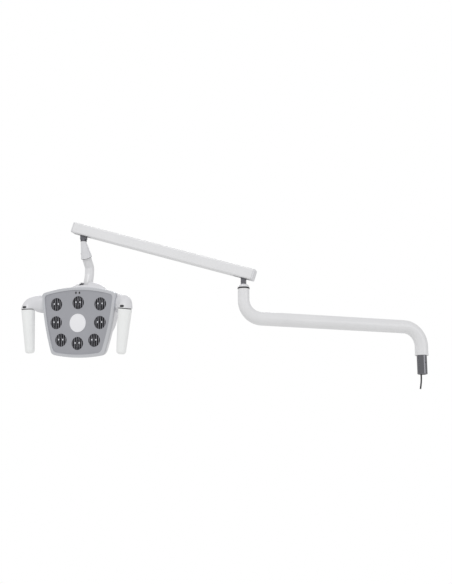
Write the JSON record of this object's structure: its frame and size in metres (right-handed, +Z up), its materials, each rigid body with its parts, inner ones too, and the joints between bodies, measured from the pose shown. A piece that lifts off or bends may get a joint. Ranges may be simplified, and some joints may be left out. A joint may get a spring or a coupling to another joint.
{
  "type": "surgical light",
  "caption": "Two-section arm with a mount pin, a bent tube and a balanced spring arm, carrying a flat tilting light head with round lenses and side handles.",
  "frame": {"origin": "centre of the mount pin's shoulder, where the pin leaves the arm tube", "axes": "+Z up along the mount pin, -X along the rigid arm towards the elbow"},
  "size_m": [1.2468, 0.4103, 0.5272],
  "materials": {
    "painted_steel": "semi-gloss powder coat",
    "bright_steel": "turned and plated",
    "dark_steel": "satin",
    "black_rubber": "matte",
    "bearing_plastic": "matte",
    "cable_jacket": "satin",
    "white_plastic": "satin",
    "handle_plastic": "satin",
    "grey_plastic": "matte",
    "silver_rim": "satin silver",
    "silver_panel": "fine-textured silver",
    "badge_white": "satin",
    "sensor_black": "gloss",
    "lens_dark": "clear over a black reflector",
    "circuit_board": "solder mask",
    "led_chip": "phosphor",
    "aluminium": "as cast",
    "spring_steel": "oiled"
  },
  "bodies": {
    "rigid_arm": {"mount_pin": "bright_steel", "stop_screw": "dark_steel", "tube_collar": "painted_steel", "arm_tube": "painted_steel", "elbow_bushes": "bearing_plastic", "elbow_ring": "black_rubber", "arm_lead": "cable_jacket", "supply_cable": "cable_jacket"},
    "elbow": {"rear_knuckle": "dark_steel", "elbow_cap": "white_plastic", "rear_link_pin": "bright_steel", "anchor_pin": "bright_steel"},
    "spring_arm": {"arm_housing": "painted_steel", "rear_end_cap": "white_plastic", "front_end_cap": "white_plastic", "arm_pivot_pins": "bright_steel", "spring_seat": "bearing_plastic", "balance_spring": "spring_steel"},
    "rod_and_nut": {"spring_rod": "dark_steel", "spring_nut": "dark_steel"},
    "level_link": {"link_rod": "dark_steel"},
    "front_mount": {"front_knuckle": "dark_steel", "front_link_pin": "bright_steel"},
    "neck": {"head_spindle": "dark_steel", "neck_root": "aluminium", "cone_cover": "white_plastic", "cone_screw": "dark_steel", "neck_tube": "painted_steel"},
    "left_handle": {"left_handle": "handle_plastic"},
    "right_handle": {"right_handle": "handle_plastic"},
    "left_button": {"left_release_button": "grey_plastic"},
    "right_button": {"right_release_button": "grey_plastic"},
    "head": {"axle_nuts": "dark_steel", "badge": "badge_white", "bezel": "silver_rim", "bezel_seal": "black_rubber", "dome_cover": "white_plastic", "driver_board": "circuit_board", "face_panel": "silver_panel", "friction_washers": "black_rubber", "heat_sink": "aluminium", "housing_screws": "dark_steel", "led_board": "circuit_board", "led_chips": "led_chip", "left_handle_core": "dark_steel", "left_wing": "white_plastic", "lens_1": "lens_dark", "lens_2": "lens_dark", "lens_3": "lens_dark", "lens_4": "lens_dark", "lens_5": "lens_dark", "lens_6": "lens_dark", "lens_7": "lens_dark", "lens_8": "lens_dark", "rear_housing": "white_plastic", "right_handle_core": "dark_steel", "right_wing": "white_plastic", "sensor_windows": "sensor_black", "tilt_axle": "bright_steel", "tilt_bracket": "aluminium"}
  },
  "joints": [
    {"name": "elbow_swivel", "type": "hinge", "parent": "rigid_arm", "child": "elbow", "pos_m": [-0.6, 0, 0.16], "axis": [0, 0, 1], "range_deg": [-109, 171]},
    {"name": "arm_lift", "type": "hinge", "parent": "elbow", "child": "spring_arm", "pos_m": [-0.6, 0, 0.229], "axis": [0.515, 0.8572, 0], "range_deg": [-47.5, 17.5]},
    {"name": "rod_swing", "type": "hinge", "parent": "elbow", "child": "rod_and_nut", "pos_m": [-0.6, 0, 0.22], "axis": [0.515, 0.8572, 0], "range_deg": [-47.5, 17.5]},
    {"name": "link_swing", "type": "hinge", "parent": "elbow", "child": "level_link", "pos_m": [-0.6, 0, 0.238], "axis": [0.515, 0.8572, 0], "range_deg": [-47.5, 17.5]},
    {"name": "knuckle_level", "type": "hinge", "parent": "spring_arm", "child": "front_mount", "pos_m": [-1.04635, 0.2682, 0.39319], "axis": [0.515, 0.8572, 0], "range_deg": [-17.5, 47.5]},
    {"name": "head_swivel", "type": "hinge", "parent": "front_mount", "child": "neck", "pos_m": [-1.04635, 0.2682, 0.356], "axis": [0, 0, 1], "range_deg": [-150, 150]},
    {"name": "head_tilt", "type": "hinge", "parent": "neck", "child": "head", "pos_m": [-1.02411, 0.29442, 0.16751], "axis": [0.7627, -0.6468, 0], "range_deg": [-15, 60]},
    {"name": "left_handle_pull", "type": "slide", "parent": "head", "child": "left_handle", "axis": [0.0914, 0.0754, -0.993], "range_m": [0, 0.05]},
    {"name": "right_handle_pull", "type": "slide", "parent": "head", "child": "right_handle", "axis": [-0.0314, 0.1781, -0.9835], "range_m": [0, 0.05]},
    {"name": "left_button_press", "type": "slide", "parent": "head", "child": "left_button", "axis": [0.6424, 0.7575, 0.1167], "range_m": [0, 0.002], "stiffness_N_per_m": 300},
    {"name": "right_button_press", "type": "slide", "parent": "head", "child": "right_button", "axis": [0.6424, 0.7575, 0.1167], "range_m": [0, 0.002], "stiffness_N_per_m": 300}
  ],
  "couplings": [
    {"joint": "rod_swing", "follows": "arm_lift", "ratio": 1},
    {"joint": "link_swing", "follows": "arm_lift", "ratio": 1},
    {"joint": "knuckle_level", "follows": "arm_lift", "ratio": -1}
  ]
}
